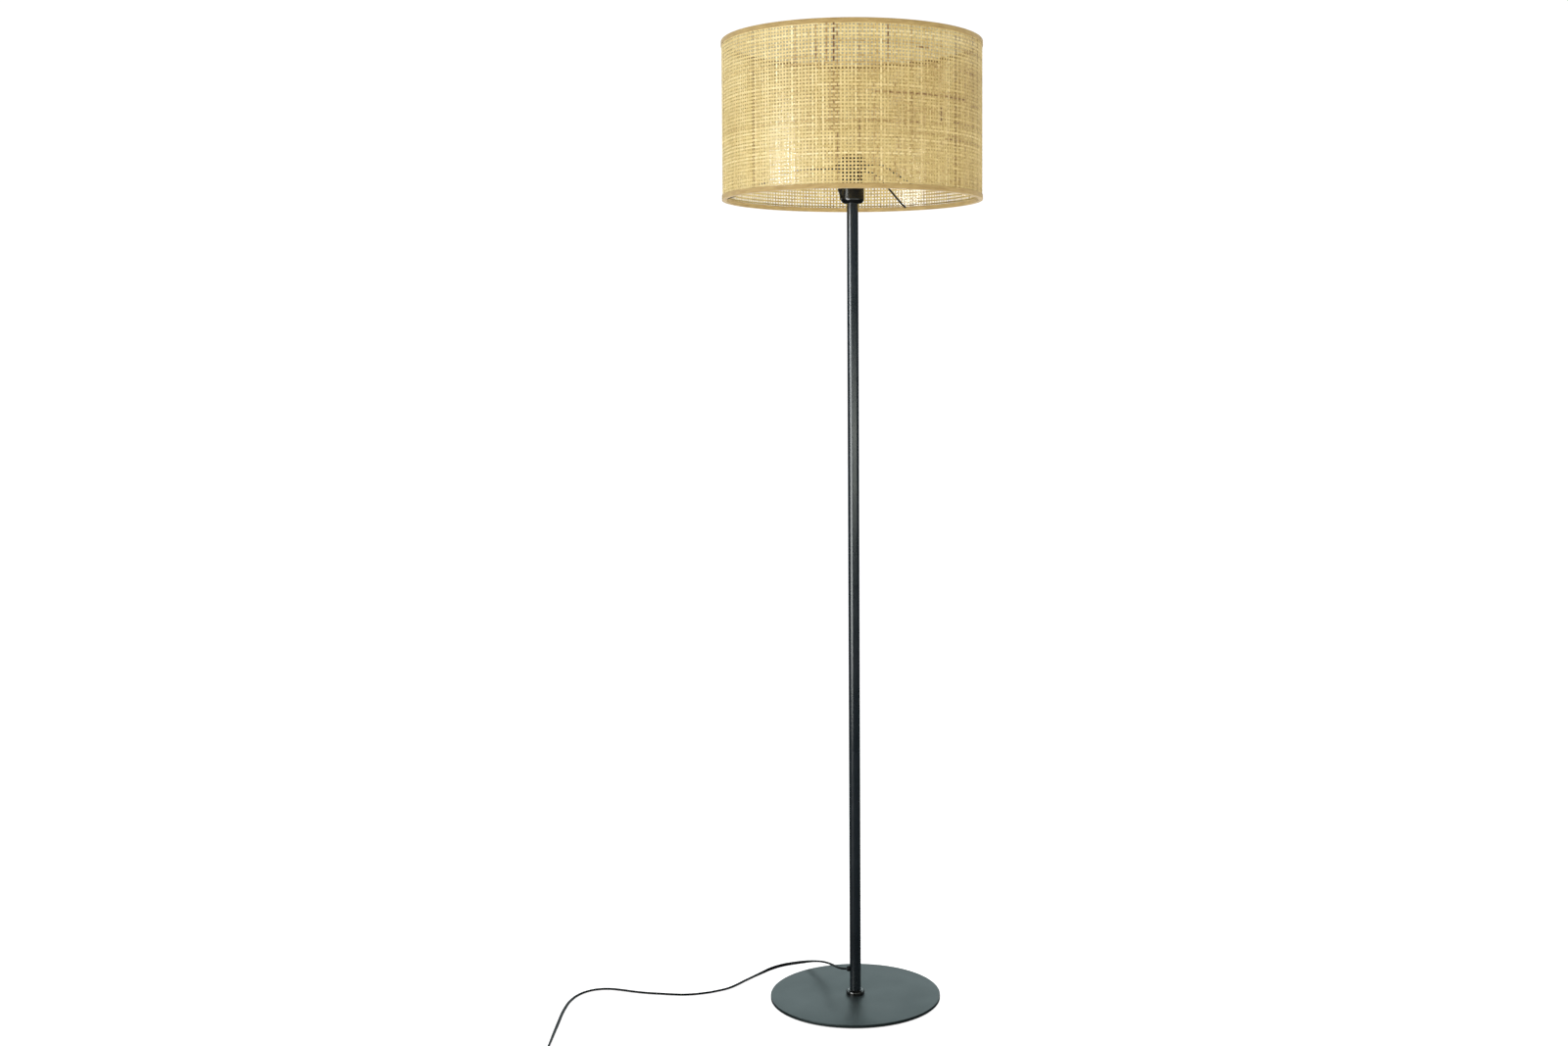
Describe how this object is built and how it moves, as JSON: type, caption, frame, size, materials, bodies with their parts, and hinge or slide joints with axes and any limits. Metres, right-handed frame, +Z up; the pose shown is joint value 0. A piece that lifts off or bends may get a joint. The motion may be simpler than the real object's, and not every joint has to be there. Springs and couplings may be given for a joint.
{
  "type": "floor lamp",
  "caption": "Floor lamp: a woven rattan drum shade on a slim black pole with a lampholder, rocker switch, round flat base and flat lead with plug.",
  "frame": {"origin": "on the floor, under the middle of the round base", "axes": "+Z up along the pole, +Y away from the picture's viewer, the switch and the lead's exit on the -X side"},
  "size_m": [0.6523, 0.5162, 1.485],
  "materials": {
    "base_paint": "satin black powder coat, fine grain",
    "pole_paint": "satin black powder coat",
    "frame_paint": "black lacquered wire",
    "gloss_black": "glossy moulded black",
    "rubber_black": "matt black rubber",
    "lead_sheath": "soft black sheath, flat twin",
    "pad_rubber": "thin anti-slip pads",
    "zinc_steel": "zinc plated",
    "plug_nickel": "nickel plated",
    "contact_brass": "plain brass",
    "core_insulator": "moulded insulator",
    "wire_brown": "brown wire insulation",
    "wire_blue": "blue wire insulation",
    "rattan_weave": "open plain weave of peeled rattan strips, straw with a few darker strips",
    "edge_tape": "folded tan edge tape",
    "clear_film": "clear film behind the weave"
  },
  "bodies": {
    "stand": {"base_plate": "base_paint", "foot_pad_1": "pad_rubber", "foot_pad_2": "pad_rubber", "foot_pad_3": "pad_rubber", "foot_pad_4": "pad_rubber", "base_screw": "zinc_steel", "base_collar": "gloss_black", "tube_insert": "zinc_steel", "tube_lower": "pole_paint", "tube_middle": "pole_paint", "tube_upper": "pole_paint", "coupler_lower": "zinc_steel", "coupler_upper": "zinc_steel", "tube_top_insert": "zinc_steel", "holder_cap": "gloss_black", "holder_nipple": "zinc_steel", "nipple_locknut": "zinc_steel", "holder_skirt": "gloss_black", "holder_core": "core_insulator", "screw_shell": "contact_brass", "centre_contact": "contact_brass", "switch_contact": "contact_brass", "terminal_live": "contact_brass", "terminal_neutral": "contact_brass", "rocker_pin": "zinc_steel", "cord_grommet": "rubber_black", "inner_lead": "lead_sheath", "live_wire": "wire_brown", "neutral_wire": "wire_blue", "cord_run": "lead_sheath", "cord_coil": "lead_sheath", "coil_tie": "rubber_black", "plug_relief": "rubber_black", "plug_body": "gloss_black", "plug_pin_left": "plug_nickel", "plug_pin_right": "plug_nickel"},
    "switch": {"rocker": "gloss_black"},
    "ring": {"shade_ring": "gloss_black"},
    "shade": {"shade_weave": "rattan_weave", "shade_film": "clear_film", "film_seam": "clear_film", "bottom_tape": "edge_tape", "top_tape": "edge_tape", "bottom_wire": "frame_paint", "top_wire": "frame_paint", "hub_ring": "frame_paint", "hub_arm_1": "frame_paint", "hub_arm_2": "frame_paint", "hub_arm_3": "frame_paint"}
  },
  "joints": [
    {"name": "rocker_press", "type": "hinge", "parent": "stand", "child": "switch", "pos_m": [-0.0145, 0, 1.256], "axis": [0, 1, 0], "range_deg": [0, 28]},
    {"name": "shade_turn", "type": "hinge", "parent": "stand", "child": "shade", "pos_m": [0, 0, 1.294], "axis": [0, 0, 1], "continuous": true},
    {"name": "ring_turn", "type": "hinge", "parent": "stand", "child": "ring", "pos_m": [0, 0, 1.299], "axis": [0, 0, 1], "continuous": true}
  ]
}
